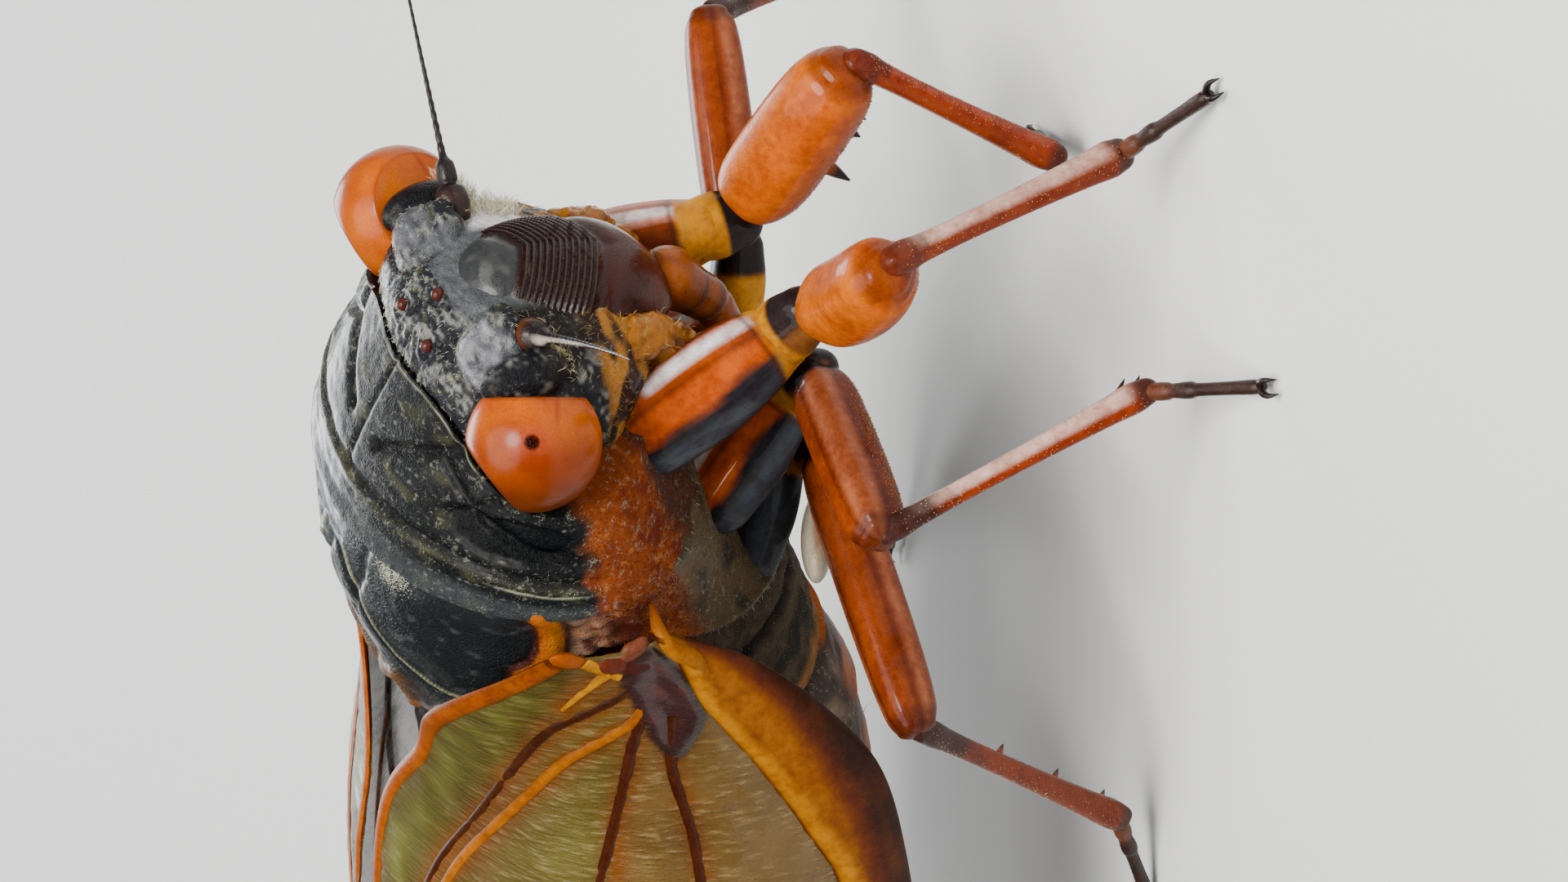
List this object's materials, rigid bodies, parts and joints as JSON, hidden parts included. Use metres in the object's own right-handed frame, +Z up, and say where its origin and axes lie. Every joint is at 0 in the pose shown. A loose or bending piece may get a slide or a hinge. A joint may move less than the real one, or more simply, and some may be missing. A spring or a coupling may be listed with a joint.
{
  "type": "cicada model",
  "caption": "Life-size still model of a periodical cicada standing with roof-folded veined wings, round red eyes and jointed-looking fixed legs.",
  "frame": {"origin": "centre of the whole animal's box, on the floor under the claws", "axes": "+Z up, the head faces -Y, +Y towards the wing tips, +X to the cicada's left"},
  "size_m": [0.0206, 0.0468, 0.0155],
  "materials": {
    "body": "satin black cuticle",
    "side": "downy orange-brown cuticle",
    "face": "glossy dark red-brown cuticle",
    "eye": "smooth red-orange",
    "orange_limb": "glossy orange cuticle",
    "dark_limb": "dark brown cuticle",
    "wing": "clear amber membrane with orange veins"
  },
  "bodies": {
    "root": {"head": "body", "clypeus": "face", "rostrum": "face", "eye_left": "eye", "eye_right": "eye", "antenna_left": "dark_limb", "antenna_right": "dark_limb", "pronotum": "body", "mesothorax": "body", "metathorax": "side", "abdomen": "body", "forewing_left": "wing", "forewing_right": "wing", "hindwing_left": "wing", "hindwing_right": "wing", "fore_coxa_right": "orange_limb", "fore_femur_right": "orange_limb", "fore_tibia_right": "orange_limb", "fore_tarsus_right": "dark_limb", "fore_coxa_left": "orange_limb", "fore_femur_left": "orange_limb", "fore_tibia_left": "orange_limb", "fore_tarsus_left": "dark_limb", "mid_coxa_right": "orange_limb", "mid_femur_right": "orange_limb", "mid_tibia_right": "orange_limb", "mid_tarsus_right": "dark_limb", "mid_coxa_left": "orange_limb", "mid_femur_left": "orange_limb", "mid_tibia_left": "orange_limb", "mid_tarsus_left": "dark_limb", "hind_coxa_right": "orange_limb", "hind_femur_right": "orange_limb", "hind_tibia_right": "orange_limb", "hind_tarsus_right": "dark_limb", "hind_coxa_left": "orange_limb", "hind_femur_left": "orange_limb", "hind_tibia_left": "orange_limb", "hind_tarsus_left": "dark_limb"}
  },
  "joints": []
}
